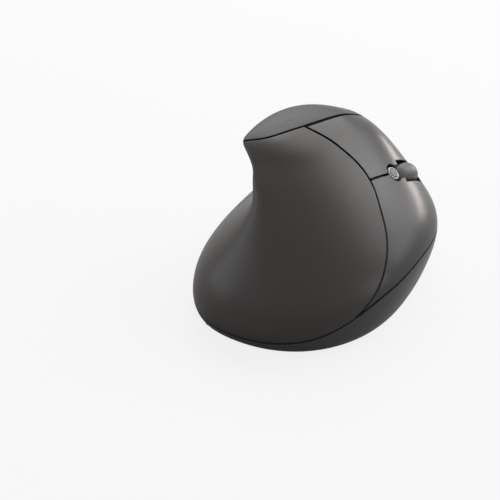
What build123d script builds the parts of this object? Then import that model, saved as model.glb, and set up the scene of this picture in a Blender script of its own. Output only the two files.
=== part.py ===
from build123d import *
import os
from cmath import rect
from math import cos, pi, radians, sin

# An upright mouse for the right hand. +Z is up, +Y points away from the wrist, towards the finger tips,
# +X is the side of the ring finger. The origin is on the desk under the middle of the mouse. Millimetres.

# Skin of the mouse
WALL = 2.0
FLOOR = 2.0
FOOT_PROUD = 0.6
SEAM = 0.6
KEY_GAP = 0.9
SPLIT = 0.9
FIT = 0.3
RUNNING_FIT = 0.06

# Outline of the moulding at rising heights. Each row has the height, the left-most point x y, the right-most
# point x y, the rear-most point y x, the front-most point y x, and how full the four corners between them
# are: right-front, front-left, left-rear, rear-right. 1 is an ellipse, less is squarer.
OUTLINES = (
    (FOOT_PROUD, -35.2, 1.0, 32.2, -2.6, -44.4, -7.0, 41.0, 1.4, 0.84, 0.90, 0.84, 0.94),
    (3.6, -36.9, 1.0, 34.4, -2.5, -45.9, -7.5, 43.3, 1.4, 0.83, 0.90, 0.84, 0.95),
    (9.0, -36.8, 1.0, 36.0, -0.9, -45.2, -7.2, 45.1, 1.3, 0.82, 0.90, 0.83, 0.95),
    (17.0, -33.2, 1.7, 36.5, 2.8, -42.4, -5.9, 45.6, 3.0, 0.82, 0.90, 0.78, 0.95),
    (25.5, -26.7, 1.8, 32.4, 5.7, -36.7, -6.0, 44.6, 1.0, 0.91, 0.90, 0.80, 0.95),
    (33.5, -20.5, 1.8, 24.2, 8.9, -29.7, -7.9, 42.8, -1.3, 0.96, 0.90, 0.85, 0.95),
    (40.6, -17.2, -2.1, 15.1, 10.9, -21.7, -11.7, 40.6, -6.2, 0.88, 0.90, 0.88, 0.95),
    (45.1, -18.5, -4.1, 8.0, 12.8, -16.0, -15.9, 37.4, -9.0, 0.83, 0.90, 0.87, 0.95),
    (48.0, -22.5, -4.1, 2.6, 13.8, -11.4, -18.3, 33.1, -10.4, 0.82, 0.92, 0.78, 0.95),
    (50.4, -27.0, -1.8, -2.5, 13.8, -8.0, -19.4, 28.6, -11.5, 0.85, 0.94, 0.68, 0.95),
    (52.2, -25.2, 3.8, -9.2, 13.8, -3.2, -19.4, 22.6, -13.5, 0.90, 0.95, 0.80, 0.95),
)
CREST = 53.1
STEPS = 5
CREST_RINGS = (0.66, 0.33, 0.05)
CREST_EASE = 1.3
SLOPE_START = 34.0
SLOPE_END = 50.0
OVERHANG = 0.4

# Seams. The seam of the base is given by its height along the right and the left side, at rising y, the arc
# between palm and keys by y at rising z, the crest seam by x and y from above.
SEAM_RIGHT = ((-80, 2.5), (-45, 5.0), (-38, 8.4), (-29, 14.4), (-20, 18.6), (-10, 20.2), (2, 20.6), (14, 19.3),
              (30, 16.6), (80, 15.0))
SEAM_LEFT = ((-80, 2.6), (-45, 2.8), (-20, 3.6), (0, 6.0), (20, 11.0), (36, 15.0), (80, 15.6))
PALM_ARC = ((-36, 2.0), (-27.5, 12.5), (-20.3, 17.9), (-11.2, 24.8), (-3.7, 30.4), (2.6, 36.1), (7.4, 40.7),
            (9.6, 45.0), (9.8, 50.0), (8.4, 58.0))
CREST_LINE = ((-60, -15.5), (-38, -9.0), (-26.0, -5.4), (-20.6, -2.9), (-16.5, 2.1), (-12.3, 9.6), (-8.9, 17.5),
              (-5.3, 28.1), (-2.4, 40.0), (-1.0, 60.0))
PALM_LEFT = -8.0
REACH = 60.0

# Frame of the keys: x runs forward along the split between them, z points out of the skin.
KEYS = Plane(origin=(14.4, 8.0, 40.7), x_dir=(0.196, 0.926, -0.322), z_dir=(0.608, 0.143, 0.781))

# Deck under the keys
DECK_TOP = -15.2
DECK = 1.8
DECK_REAR = -22.5
DECK_FRONT = 33.0
DECK_LEFT = 11.0
DECK_RIGHT = -22.0
DECK_CLEAR = 0.6
LEG_RADIUS = 2.4
LEG_PLACES = ((-19.5, 6.0), (28.0, 7.0), (-19.0, -17.0), (25.0, -16.0))
KEY_BOARD = 1.2
KEY_BOARD_REAR = -12.5
KEY_BOARD_FRONT = 11.0

# Pivot of the keys
PIVOT_X = -17.0
PIVOT_Z = -12.6
PIN_RADIUS = 1.0
KNUCKLE_RADIUS = 2.1
EAR_PLACES = {"left": (9.2, 10.8), "middle": (-2.4, 2.4), "right": (-13.8, -12.2)}
ARM_SIDE_CLEAR = 0.4
ARM_PROFILE = ((6.0, -1.0), (-1.0, -3.2), (-8.0, -6.8), (-15.0, -9.9), (-15.0, -13.0), (-7.0, -9.6), (0.0, -6.4),
               (6.0, -4.6))

# Key switches
SWITCH_LENGTH = 12.8
SWITCH_BEHIND = 5.4
SWITCH_WIDTH = 5.8
SWITCH_HEIGHT = 6.5
PLUNGER_LENGTH = 2.8
PLUNGER_WIDTH = 1.2
PLUNGER_PROUD = 0.8
PLUNGER_DEEP = 1.6
PLUNGER_GAP = 0.05
PLUNGER_FIT = 0.1
PLUNGER_TRAVEL = 0.6
POST_RADIUS = 1.6
INDEX_SWITCH = (5.0, 7.0)
MIDDLE_SWITCH = (5.0, -11.0)

# Wheel
WHEEL_X = 22.8
WHEEL_RADIUS = 9.2
WHEEL_PROUD = 2.2
WHEEL_WIDTH = 7.0
TYRE = 3.4
TYRE_ROUND = 3.2
HUB_WEB = 2.2
AXLE_RADIUS = 1.5
SLOT_CLEAR = 0.8
SLOT_NECK = 2.6
WHEEL_CLEAR = 0.9
CRADLE_WALL = 1.6
CRADLE_ROUND = 2.8
CRADLE_FLOOR = 1.4
ENCODER = 3.6
ENCODER_RADIUS = 3.2
ENCODER_DROP = 5.2
ENCODER_LEG = 2.0
WELL_WALL = 1.4
WELL_CLEAR = 0.25
WHEEL_SWITCH = 6.0
WHEEL_SWITCH_HEIGHT = 3.2
WHEEL_SWITCH_PLUNGER = 1.7
WHEEL_SWITCH_PROUD = 0.6

# Resolution key
DPI_X = 12.9
DPI_RADIUS = 2.5
DPI_RING = 0.6
DPI_GAP = 0.9
DPI_PROUD = 1.7
DPI_CAP = 2.2
DPI_STEM = 1.0
DPI_ARM_TOP = -3.0
DPI_ARM = 1.2
DPI_ARM_WIDTH = 3.0
DPI_POST_X = 6.5
DPI_POST_RADIUS = 1.0
DPI_GUIDE_X = 1.5
DPI_GUIDE_RADIUS = 0.9
DPI_TRAVEL = 0.4
DPI_SWITCH = 4.5
DPI_SWITCH_HEIGHT = 3.8

# Thumb keys
THUMB_KEYS = {"back": (9.8, 39.6), "forward": (25.2, 40.0)}
THUMB_LENGTH = 13.4
THUMB_HEIGHT = 6.0
THUMB_PROUD = 0.7
THUMB_FLANGE = 1.0
THUMB_LIP = 0.8
THUMB_BOARD_X = -8.9
THUMB_BOARD = 1.2
THUMB_SWITCH = 6.0
THUMB_SWITCH_DEEP = 1.9
THUMB_PLUNGER = 0.5
THUMB_PLUNGER_RADIUS = 1.6
THUMB_PUSHER_RADIUS = 1.2
THUMB_POSTS = ((3.5, 33.2), (16.8, 33.2), (31.5, 33.6))
THUMB_POST_RADIUS = 1.5

# Base
BOARD_X = -9.0
BOARD_Y = 10.0
BOARD_LENGTH = 34.0
BOARD_WIDTH = 34.0
BOARD = 1.6
BOARD_LIFT = 4.8
BOARD_ROUND = 2.0
STANDOFF_RADIUS = 2.0
STANDOFF_INSET = 3.0
SENSOR_X = -6.0
SENSOR_Y = 8.0
SENSOR_WINDOW = (7.0, 5.0)
LENS = (14.0, 8.4)
LENS_PLATE = 1.6
LENS_STEM = 2.2
LENS_EYE = 1.6
CHIP = (10.0, 7.6, 2.8)
LED_RADIUS = 2.4
LED_LENGTH = 6.4
SOCKET_X = -8.0
SOCKET = (8.0, 9.6, 5.4)
SOCKET_BORE = 1.3
SOCKET_PORT = 2.6
SOCKET_SETBACK = 0.6
TONGUE_WIDTH = 10.0
BATTERY_X = -6.0
BATTERY_Y = -26.5
BATTERY = (30.0, 19.0, 6.0)
BATTERY_PAD = 0.6
BATTERY_ROUND = 2.0
BATTERY_RIB = 1.2
BATTERY_RIB_HEIGHT = 3.4
BATTERY_HOOK = 6.0
BAY_X = 23.0
BAY_Y = -4.0
RECEIVER_WIDTH = 14.4
RECEIVER_CAP = 6.8
RECEIVER_THICK = 5.8
PLUG_WIDTH = 12.0
PLUG_THICK = 4.5
PLUG_LENGTH = 11.8
PLUG_SHELL = 0.35
PLUG_ROOT = 2.0
BAY_WALL = 1.2
BAY_SINK = 0.4
POWER_X = -20.0
POWER_Y = 15.5
POWER_KNOB = (4.6, 3.2)
POWER_TRAVEL = 3.0
POWER_FLANGE = 0.9
POWER_LAP = 1.4
POWER_LEVER = 1.6
POWER_SINK = 0.4
POWER_SWITCH = (8.6, 3.6, 2.6)
FOOT_SINK = 0.25
FOOT_EDGE = 0.25
FOOT_ROUND = 2.4
FEET = {"front_foot": (0.0, 34.5, 30.0, 7.0), "rear_foot": (-8.0, -39.0, 26.0, 6.0),
        "side_foot": (25.4, 14.5, 5.0, 13.0), "thumb_foot": (-30.0, 2.0, 5.0, 16.0)}
BOSS_RADIUS = 3.0
BOSS_TOP = 9.0
SCREW_RADIUS = 1.1
SCREW_HEAD = 2.2
SCREW_HEAD_HEIGHT = 1.6
SCREW_SEAT = 1.8
SCREW_LENGTH = 9.5
SCREWS = {"palm_rear": (14.0, -33.0), "palm_left": (-27.0, -24.0), "palm_right": (25.0, -21.0),
          "panel_front": (-19.5, 30.8)}


def quarter(across, start, end, fullness):
    """Points of one corner of an outline, from start up to, and without, end."""
    points = []
    for step in range(STEPS):
        turn = pi / 2 * step / STEPS
        run = cos(turn) ** fullness
        rise = sin(turn) ** fullness
        if across:
            points.append((start[0] + (end[0] - start[0]) * rise, end[1] + (start[1] - end[1]) * run))
        else:
            points.append((end[0] + (start[0] - end[0]) * run, start[1] + (end[1] - start[1]) * rise))
    return points


def left_at(height):
    """Left-most x of the moulding at a height."""
    for low, high in zip(OUTLINES, OUTLINES[1:]):
        if height <= high[0]:
            break
    return low[1] + (high[1] - low[1]) * (height - low[0]) / (high[0] - low[0])


def outline(row, inset, slope):
    """Closed outline of the moulding at one height, as points. Under the lip the wall leans outwards, so
    there its inner side follows the left edge of the lowered height."""
    left = (left_at(row[0] - inset * slope) + inset * (1 + OVERHANG * slope), row[2])
    right = (row[3] - inset, row[4])
    rear = (row[6] + 2 * inset * slope, row[5] + inset)
    front = (row[8], row[7] - inset)
    points = quarter(False, right, front, row[9])
    points += quarter(True, front, left, row[10])
    points += quarter(False, left, rear, row[11])
    points += quarter(True, rear, right, row[12])
    return points


def ring(points, height):
    """Face bounded by a smooth closed curve through points at one height."""
    return make_face(Spline([(x, y, height) for x, y in points], periodic=True))


def form(inset, bottom):
    """Solid of the whole mouse, drawn in by inset on its sides and top, from bottom up. Towards the crest the
    outlines shrink and turn into even ellipses, which close the top without a ridge."""
    faces = []
    for row in OUTLINES:
        slope = min(max((row[0] - SLOPE_START) / (SLOPE_END - SLOPE_START), 0), 1)
        height = max(row[0] - inset * slope, bottom)
        faces.append(ring(outline(row, inset, slope), height))
    crown = outline(OUTLINES[-1], inset, 1)
    count = len(crown)
    middle = sum(complex(x, y) for x, y in crown) / count
    edge = [complex(x, y) - middle for x, y in crown]
    turns = [rect(1, 2 * pi * step / count) for step in range(count)]
    ahead = sum(point / turn for point, turn in zip(edge, turns)) / count
    astern = sum(point * turn for point, turn in zip(edge, turns)) / count
    ellipse = [ahead * turn + astern / turn for turn in turns]
    shoulder = OUTLINES[-1][0] - inset
    rise = CREST - OUTLINES[-1][0]
    for share in CREST_RINGS:
        ease = min((1 - share) * CREST_EASE, 1)
        points = [middle + share * (point + (even - point) * ease) for point, even in zip(edge, ellipse)]
        height = shoulder + rise * (1 - share * share)
        faces.append(ring([(point.real, point.imag) for point in points], height))
    return loft(faces)


def below_seam(lift):
    """Everything under the seam of the base, raised by lift."""
    ends = []
    for side, line in ((-REACH, SEAM_LEFT), (REACH, SEAM_RIGHT)):
        top = Spline([(side, y, z + lift) for y, z in line])
        foot = Polyline((side, line[-1][0], line[-1][1] + lift), (side, line[-1][0], -REACH),
                        (side, line[0][0], -REACH), (side, line[0][0], line[0][1] + lift))
        ends.append(make_face([top, foot]))
    return loft(ends, ruled=True)


def behind_arc(shift):
    """Everything behind the arc between palm and keys, moved forward by shift."""
    arc = Spline([(-REACH, y + shift, z) for y, z in PALM_ARC])
    low = PALM_ARC[0]
    high = PALM_ARC[-1]
    back = Polyline((-REACH, high[0] + shift, high[1]), (-REACH, -REACH, high[1]), (-REACH, -REACH, low[1]),
                    (-REACH, low[0] + shift, low[1]))
    flare = block((-REACH, PALM_LEFT), (-REACH, 0), (-REACH, REACH))
    return extrude(make_face([arc, back]), amount=2 * REACH, dir=(1, 0, 0)) + flare


def left_of_crest(shift):
    """Everything on the thumb's side of the crest seam, widened by shift."""
    line = [(x + shift, y - shift) for x, y in CREST_LINE]
    crest = Spline([(x, y, 0) for x, y in line])
    side = Polyline((line[-1][0], line[-1][1], 0), (-2 * REACH, line[-1][1], 0), (-2 * REACH, line[0][1], 0),
                    (line[0][0], line[0][1], 0))
    return extrude(make_face([crest, side]), amount=2 * REACH, dir=(0, 0, 1))


def span(middle, size):
    """Limits of a size about its middle."""
    return middle - size / 2, middle + size / 2


def rod(start, end, radius):
    """Round bar from start to end, world frame."""
    axis = Vector(*end) - Vector(*start)
    bar = Cylinder(radius, axis.length, align=(Align.CENTER, Align.CENTER, Align.MIN))
    return Plane(origin=start, z_dir=axis) * bar


def block(x, y, z):
    """Box between the limits in x, y and z."""
    size = [high - low for low, high in (x, y, z)]
    middle = [(high + low) / 2 for low, high in (x, y, z)]
    return Pos(*middle) * Box(*size)


def post(x, y, low, high, radius):
    """Upright round bar."""
    return Pos(x, y, low) * Cylinder(radius, high - low, align=(Align.CENTER, Align.CENTER, Align.MIN))


def pad(x, y, low, high, length, width, corner):
    """Upright block with round corners."""
    return Pos(x, y, low) * extrude(RectangleRounded(length, width, corner), amount=high - low)


def across(x, z, start, end, radius):
    """Round bar along the y of the frame that it is placed in."""
    bar = Cylinder(radius, end - start, align=(Align.CENTER, Align.CENTER, Align.MIN))
    return Pos(x, start, z) * Rot(-90, 0, 0) * bar


floor_top = FOOT_PROUD + FLOOR
outside = form(0, FOOT_PROUD)
core = form(WALL / 2, FOOT_PROUD)
cavity = form(WALL, floor_top)
skin = outside - cavity
upper = skin - below_seam(SEAM)
rim_gap = skin - below_seam(KEY_GAP)
fingers = rim_gap - behind_arc(KEY_GAP) - left_of_crest(KEY_GAP)

wheel_z = WHEEL_PROUD - WHEEL_RADIUS
slot_half = WHEEL_WIDTH / 2 + SLOT_CLEAR
deck_bottom = DECK_TOP - DECK
board_top = DECK_TOP + KEY_BOARD
switch_top = board_top + SWITCH_HEIGHT


def make_finger_key(side, ends, switch):
    """Key of one finger: its share of the skin, a hinge arm that runs back under the palm, a switch post."""
    share = KEYS * block((-REACH, REACH), sorted((side * SPLIT / 2, side * REACH)), (-REACH, REACH))
    slot = across(WHEEL_X, wheel_z, -slot_half, slot_half, WHEEL_RADIUS + SLOT_CLEAR)
    slot += block((DPI_X, WHEEL_X), (-SLOT_NECK, SLOT_NECK), (-REACH / 2, REACH / 2))
    hole = post(DPI_X, 0, -REACH / 2, REACH / 2, DPI_RADIUS + DPI_GAP)
    shell = (fingers & share) - KEYS * (slot + hole)
    low = min(ends) + ARM_SIDE_CLEAR
    high = max(ends) - ARM_SIDE_CLEAR
    profile = make_face(Polyline([(x, low, z) for x, z in ARM_PROFILE], close=True))
    arm = extrude(profile, amount=high - low, dir=(0, 1, 0))
    arm += across(PIVOT_X, PIVOT_Z, low, high, KNUCKLE_RADIUS)
    arm += block((PIVOT_X, PIVOT_X + 4), (low, high), (PIVOT_Z - 1, PIVOT_Z + 1))
    arm -= across(PIVOT_X, PIVOT_Z, low - 1, high + 1, PIN_RADIUS + RUNNING_FIT)
    stem = post(switch[0], switch[1], switch_top + PLUNGER_PROUD + PLUNGER_GAP, REACH / 4, POST_RADIUS)
    return shell + (KEYS * (arm + stem) & core)


def make_key_frame():
    """Sloping deck on four legs, with the ears of the hinge pin and the well of the wheel."""
    plate = KEYS * block((DECK_REAR, DECK_FRONT), (DECK_RIGHT, DECK_LEFT), (deck_bottom, DECK_TOP))
    plate &= form(WALL + DECK_CLEAR, FOOT_PROUD)
    frame = plate
    beneath = KEYS * block(span(0, 4 * REACH), span(0, 4 * REACH), (-4 * REACH, DECK_TOP - DECK / 2))
    for x, y in LEG_PLACES:
        top = KEYS.from_local_coords(Vector(x, y, DECK_TOP))
        frame += post(top.X, top.Y, floor_top, top.Z + 2 * DECK, LEG_RADIUS) & beneath
    for low, high in EAR_PLACES.values():
        ear = across(PIVOT_X, PIVOT_Z, low, high, KNUCKLE_RADIUS)
        ear += block(span(PIVOT_X, 2 * KNUCKLE_RADIUS), (low, high), (deck_bottom, PIVOT_Z))
        ear -= across(PIVOT_X, PIVOT_Z, low - 1, high + 1, PIN_RADIUS)
        frame += KEYS * ear
    rear = WHEEL_X - WHEEL_RADIUS - WHEEL_CLEAR
    front = WHEEL_X + WHEEL_RADIUS + WHEEL_CLEAR
    left = cradle_left + WELL_CLEAR
    right = cradle_right - WELL_CLEAR
    well = block((rear - WELL_WALL, front), (right - WELL_WALL, left + WELL_WALL),
                 (well_floor - WELL_WALL, DECK_TOP))
    frame += KEYS * well & form(WALL + DECK_CLEAR, FOOT_PROUD)
    frame -= KEYS * block((rear, front + REACH), (right, left), (well_floor, REACH))
    frame += KEYS * post(DPI_GUIDE_X, 0, DECK_TOP - DECK / 2, DPI_ARM_TOP + DPI_TRAVEL, DPI_GUIDE_RADIUS)
    return frame


def make_key_board():
    """Circuit board on the deck, with a hole for the guide pin of the resolution key."""
    board = block((KEY_BOARD_REAR, KEY_BOARD_FRONT), (DECK_RIGHT + 2, DECK_LEFT), (DECK_TOP, board_top))
    board -= post(DPI_GUIDE_X, 0, DECK_TOP - 1, board_top + 1, DPI_GUIDE_RADIUS + FIT)
    board = KEYS * board
    return board & form(WALL + 2 * DECK_CLEAR, FOOT_PROUD)


def make_key_switch(place):
    """Snap-action switch, open at the top for its plunger."""
    x, y = place
    body = block((x - SWITCH_BEHIND, x - SWITCH_BEHIND + SWITCH_LENGTH), span(y, SWITCH_WIDTH),
                 (board_top, switch_top))
    body = chamfer(body.edges().group_by(Axis.Z)[-1], 0.4)
    body -= block(span(x, PLUNGER_LENGTH + 2 * PLUNGER_FIT), span(y, PLUNGER_WIDTH + 2 * PLUNGER_FIT),
                  (switch_top - PLUNGER_DEEP, switch_top + 1))
    return KEYS * body


def make_plunger(place):
    """Plunger of a snap-action switch."""
    x, y = place
    plunger = block(span(x, PLUNGER_LENGTH), span(y, PLUNGER_WIDTH),
                    (switch_top - PLUNGER_DEEP + PLUNGER_TRAVEL, switch_top + PLUNGER_PROUD))
    plunger = fillet(plunger.edges().filter_by(Axis.Y).group_by(Axis.Z)[-1], 0.4)
    return KEYS * plunger


cradle_left = WHEEL_WIDTH / 2 + WHEEL_CLEAR + CRADLE_WALL + ENCODER
cradle_right = -(WHEEL_WIDTH / 2 + WHEEL_CLEAR + CRADLE_WALL)
cradle_low = wheel_z - WHEEL_RADIUS - WHEEL_CLEAR
cradle_bottom = cradle_low - CRADLE_FLOOR
well_floor = cradle_bottom - WHEEL_SWITCH_PROUD - PLUNGER_GAP - WHEEL_SWITCH_HEIGHT
axle_left = cradle_left - ENCODER / 2
axle_right = cradle_right


def make_tyre():
    """Rubber tyre with a rounded crown."""
    inner = WHEEL_RADIUS - TYRE
    shape = Pos((inner + WHEEL_RADIUS) / 2, 0) * Rectangle(TYRE, WHEEL_WIDTH)
    shape = fillet(shape.vertices().group_by(Axis.X)[-1], TYRE_ROUND)
    tyre = revolve(shape, Axis.Y)
    return KEYS * (Pos(WHEEL_X, 0, wheel_z) * tyre)


def make_hub():
    """Hub of the wheel: rim, thin web with six openings, and the axle."""
    half = WHEEL_WIDTH / 2
    outer = WHEEL_RADIUS - TYRE
    rim = across(0, 0, -half, half, outer) - across(0, 0, -half, half, outer - 1.4)
    web = across(0, 0, -HUB_WEB / 2, HUB_WEB / 2, outer - 0.7)
    for spoke in range(6):
        turn = radians(60 * spoke)
        reach = outer * 0.55
        web -= across(reach * cos(turn), reach * sin(turn), -half, half, outer * 0.17)
    hub = rim + web + across(0, 0, -half, half, AXLE_RADIUS + 1.2)
    hub += across(0, 0, axle_right, axle_left, AXLE_RADIUS)
    return KEYS * (Pos(WHEEL_X, 0, wheel_z) * hub)


def make_cradle():
    """Cradle of the wheel: two cheeks with the axle's bearings on a floor that presses the switch below."""
    inner = WHEEL_WIDTH / 2 + WHEEL_CLEAR
    cradle = block((WHEEL_X - WHEEL_RADIUS - 0.4, WHEEL_X + WHEEL_RADIUS * 0.6), (cradle_right, cradle_left),
                   (cradle_bottom, cradle_low))
    for low, high in ((inner, inner + CRADLE_WALL), (-inner - CRADLE_WALL, -inner)):
        cradle += across(WHEEL_X, wheel_z, low, high, CRADLE_ROUND)
        cheek = Polyline((WHEEL_X - CRADLE_ROUND, low, wheel_z), (WHEEL_X + CRADLE_ROUND, low, wheel_z),
                         (WHEEL_X + 1.8 * CRADLE_ROUND, low, cradle_bottom),
                         (WHEEL_X - 1.8 * CRADLE_ROUND, low, cradle_bottom), close=True)
        cradle += extrude(make_face(cheek), amount=high - low, dir=(0, 1, 0))
    bore = across(WHEEL_X, wheel_z, cradle_right - 1, inner + CRADLE_WALL + 1, AXLE_RADIUS + RUNNING_FIT)
    return KEYS * (cradle - bore)


def make_encoder():
    """Rotary encoder on the outer side of the cradle's left cheek."""
    low = WHEEL_WIDTH / 2 + WHEEL_CLEAR + CRADLE_WALL
    high = cradle_left
    body = across(WHEEL_X, wheel_z, low, high, ENCODER_RADIUS)
    body += block(span(WHEEL_X, 2 * ENCODER_RADIUS), (low, high), (wheel_z - ENCODER_DROP, wheel_z))
    body += block(span(WHEEL_X, ENCODER_LEG), (low, high), (cradle_low, wheel_z - ENCODER_DROP))
    body -= across(WHEEL_X, wheel_z, low - 1, axle_left + FIT, AXLE_RADIUS + RUNNING_FIT)
    return KEYS * body


def make_wheel_switch():
    """Tactile switch under the cradle."""
    top = well_floor + WHEEL_SWITCH_HEIGHT
    body = block(span(WHEEL_X, WHEEL_SWITCH), span(0, WHEEL_SWITCH), (well_floor, top))
    body -= post(WHEEL_X, 0, top - 2 * PLUNGER_TRAVEL, top + 1, WHEEL_SWITCH_PLUNGER + PLUNGER_FIT)
    return KEYS * body


def make_wheel_plunger():
    """Plunger of the tactile switch under the cradle."""
    top = well_floor + WHEEL_SWITCH_HEIGHT
    return KEYS * post(WHEEL_X, 0, top - PLUNGER_TRAVEL, top + WHEEL_SWITCH_PROUD, WHEEL_SWITCH_PLUNGER)


def make_dpi_key():
    """Resolution key: round cap in the split, on a lever that reaches back to its switch."""
    cap_low = DPI_PROUD - DPI_CAP
    key = post(DPI_X, 0, cap_low, DPI_PROUD, DPI_RADIUS - DPI_RING)
    key = fillet(key.edges().group_by(Axis.Z)[-1], 0.5)
    key += post(DPI_X, 0, cap_low, cap_low + 0.8, DPI_RADIUS)
    key += post(DPI_X, 0, DPI_ARM_TOP - DPI_ARM, cap_low, DPI_STEM)
    arm_front = DPI_X + 0.3
    arm_rear = DPI_GUIDE_X - DPI_GUIDE_RADIUS - 1.6
    key += block((arm_rear, arm_front), span(0, DPI_ARM_WIDTH), (DPI_ARM_TOP - DPI_ARM, DPI_ARM_TOP))
    key += post(DPI_GUIDE_X, 0, DPI_ARM_TOP - 3, DPI_ARM_TOP, DPI_GUIDE_RADIUS + 1.2)
    key -= post(DPI_GUIDE_X, 0, DPI_ARM_TOP - 4, DPI_ARM_TOP + 1, DPI_GUIDE_RADIUS + RUNNING_FIT)
    post_low = board_top + DPI_SWITCH_HEIGHT + PLUNGER_PROUD + PLUNGER_GAP
    key += post(DPI_POST_X, 0, post_low, DPI_ARM_TOP - DPI_ARM, DPI_POST_RADIUS)
    return KEYS * key


def make_dpi_ring():
    """Bright ring round the cap of the resolution key."""
    low = DPI_PROUD - DPI_CAP + 0.8
    ring_body = post(DPI_X, 0, low, DPI_PROUD - 0.3, DPI_RADIUS)
    ring_body = chamfer(ring_body.edges().group_by(Axis.Z)[-1], 0.3)
    ring_body -= post(DPI_X, 0, low - 1, DPI_PROUD + 1, DPI_RADIUS - DPI_RING)
    return KEYS * ring_body


def make_dpi_switch():
    """Tactile switch of the resolution key."""
    top = board_top + DPI_SWITCH_HEIGHT
    body = block(span(DPI_POST_X, DPI_SWITCH), span(0, DPI_SWITCH), (board_top, top))
    body -= post(DPI_POST_X, 0, top - 2 * PLUNGER_TRAVEL, top + 1, DPI_POST_RADIUS + PLUNGER_FIT)
    return KEYS * body


def make_dpi_plunger():
    """Plunger of the resolution key's switch."""
    top = board_top + DPI_SWITCH_HEIGHT
    return KEYS * post(DPI_POST_X, 0, top - PLUNGER_TRAVEL, top + PLUNGER_PROUD, DPI_POST_RADIUS)


def thumb_prism(place, grow, start, end):
    """Long rounded block across the thumb panel, grown by grow all round."""
    y, z = place
    shape = RectangleRounded(THUMB_LENGTH + 2 * grow, THUMB_HEIGHT + 2 * grow, THUMB_HEIGHT / 2 + grow - 0.01)
    return Plane(origin=(start, y, z), x_dir=(0, 1, 0), z_dir=(1, 0, 0)) * extrude(shape, amount=end - start)


def make_thumb_key(place):
    """Side key: a crowned cap through the panel, a lip behind it that holds it in, a post to its switch."""
    y, z = place
    left = OUTLINES[0][1]
    behind = form(WALL + FIT, FOOT_PROUD)
    cap = thumb_prism(place, 0, left, THUMB_BOARD_X) & (form(-THUMB_PROUD, FOOT_PROUD) - behind)
    lip = behind - form(WALL + FIT + THUMB_FLANGE, FOOT_PROUD)
    lip &= thumb_prism(place, THUMB_LIP, left, THUMB_BOARD_X)
    tip = THUMB_BOARD_X - THUMB_SWITCH_DEEP - THUMB_PLUNGER - PLUNGER_GAP
    return cap + lip + (rod((left, y, z), (tip, y, z), THUMB_PUSHER_RADIUS) & behind)


def make_thumb_board():
    """Upright circuit board behind the side keys."""
    low = min(z for y, z in THUMB_POSTS) - 2.5
    high = max(z for y, z in THUMB_KEYS.values()) + THUMB_HEIGHT / 2
    rear = THUMB_POSTS[0][0] - 2.5
    front = THUMB_POSTS[-1][0] + 2.5
    return block((THUMB_BOARD_X, THUMB_BOARD_X + THUMB_BOARD), (rear, front), (low, high))


def make_thumb_switch(place):
    """Tactile switch of a side key."""
    y, z = place
    face = THUMB_BOARD_X - THUMB_SWITCH_DEEP
    body = block((face, THUMB_BOARD_X), span(y, THUMB_SWITCH), span(z, THUMB_SWITCH))
    return body - rod((face - 1, y, z), (face + 2 * PLUNGER_TRAVEL, y, z), THUMB_PLUNGER_RADIUS + PLUNGER_FIT)


def make_thumb_plunger(place):
    """Plunger of a side key's switch."""
    y, z = place
    face = THUMB_BOARD_X - THUMB_SWITCH_DEEP
    return rod((face - THUMB_PLUNGER, y, z), (face + PLUNGER_TRAVEL, y, z), THUMB_PLUNGER_RADIUS)


def make_thumb_panel():
    """Shell of the thumb's side with the openings of the side keys and the posts of their board."""
    panel = upper & left_of_crest(0)
    for place in THUMB_KEYS.values():
        panel -= thumb_prism(place, FIT, -REACH, THUMB_BOARD_X)
    left = OUTLINES[0][1]
    for y, z in THUMB_POSTS:
        panel += rod((left, y, z), (THUMB_BOARD_X, y, z), THUMB_POST_RADIUS) & core
    panel += make_boss(*SCREWS["panel_front"])
    return panel


def make_boss(x, y):
    """Screw boss that hangs from the skin and stands on the base's boss."""
    boss = post(x, y, BOSS_TOP, REACH, BOSS_RADIUS - 0.4) & core
    end = FOOT_PROUD + SCREW_SEAT + SCREW_LENGTH + 1
    return boss - post(x, y, BOSS_TOP - 1, end, SCREW_RADIUS + RUNNING_FIT)


def make_palm_shell():
    """Big rear shell that carries the palm and flares out at the left."""
    palm = (upper & behind_arc(0)) - left_of_crest(SEAM)
    for name in ("palm_rear", "palm_left", "palm_right"):
        palm += make_boss(*SCREWS[name])
    return palm


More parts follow.
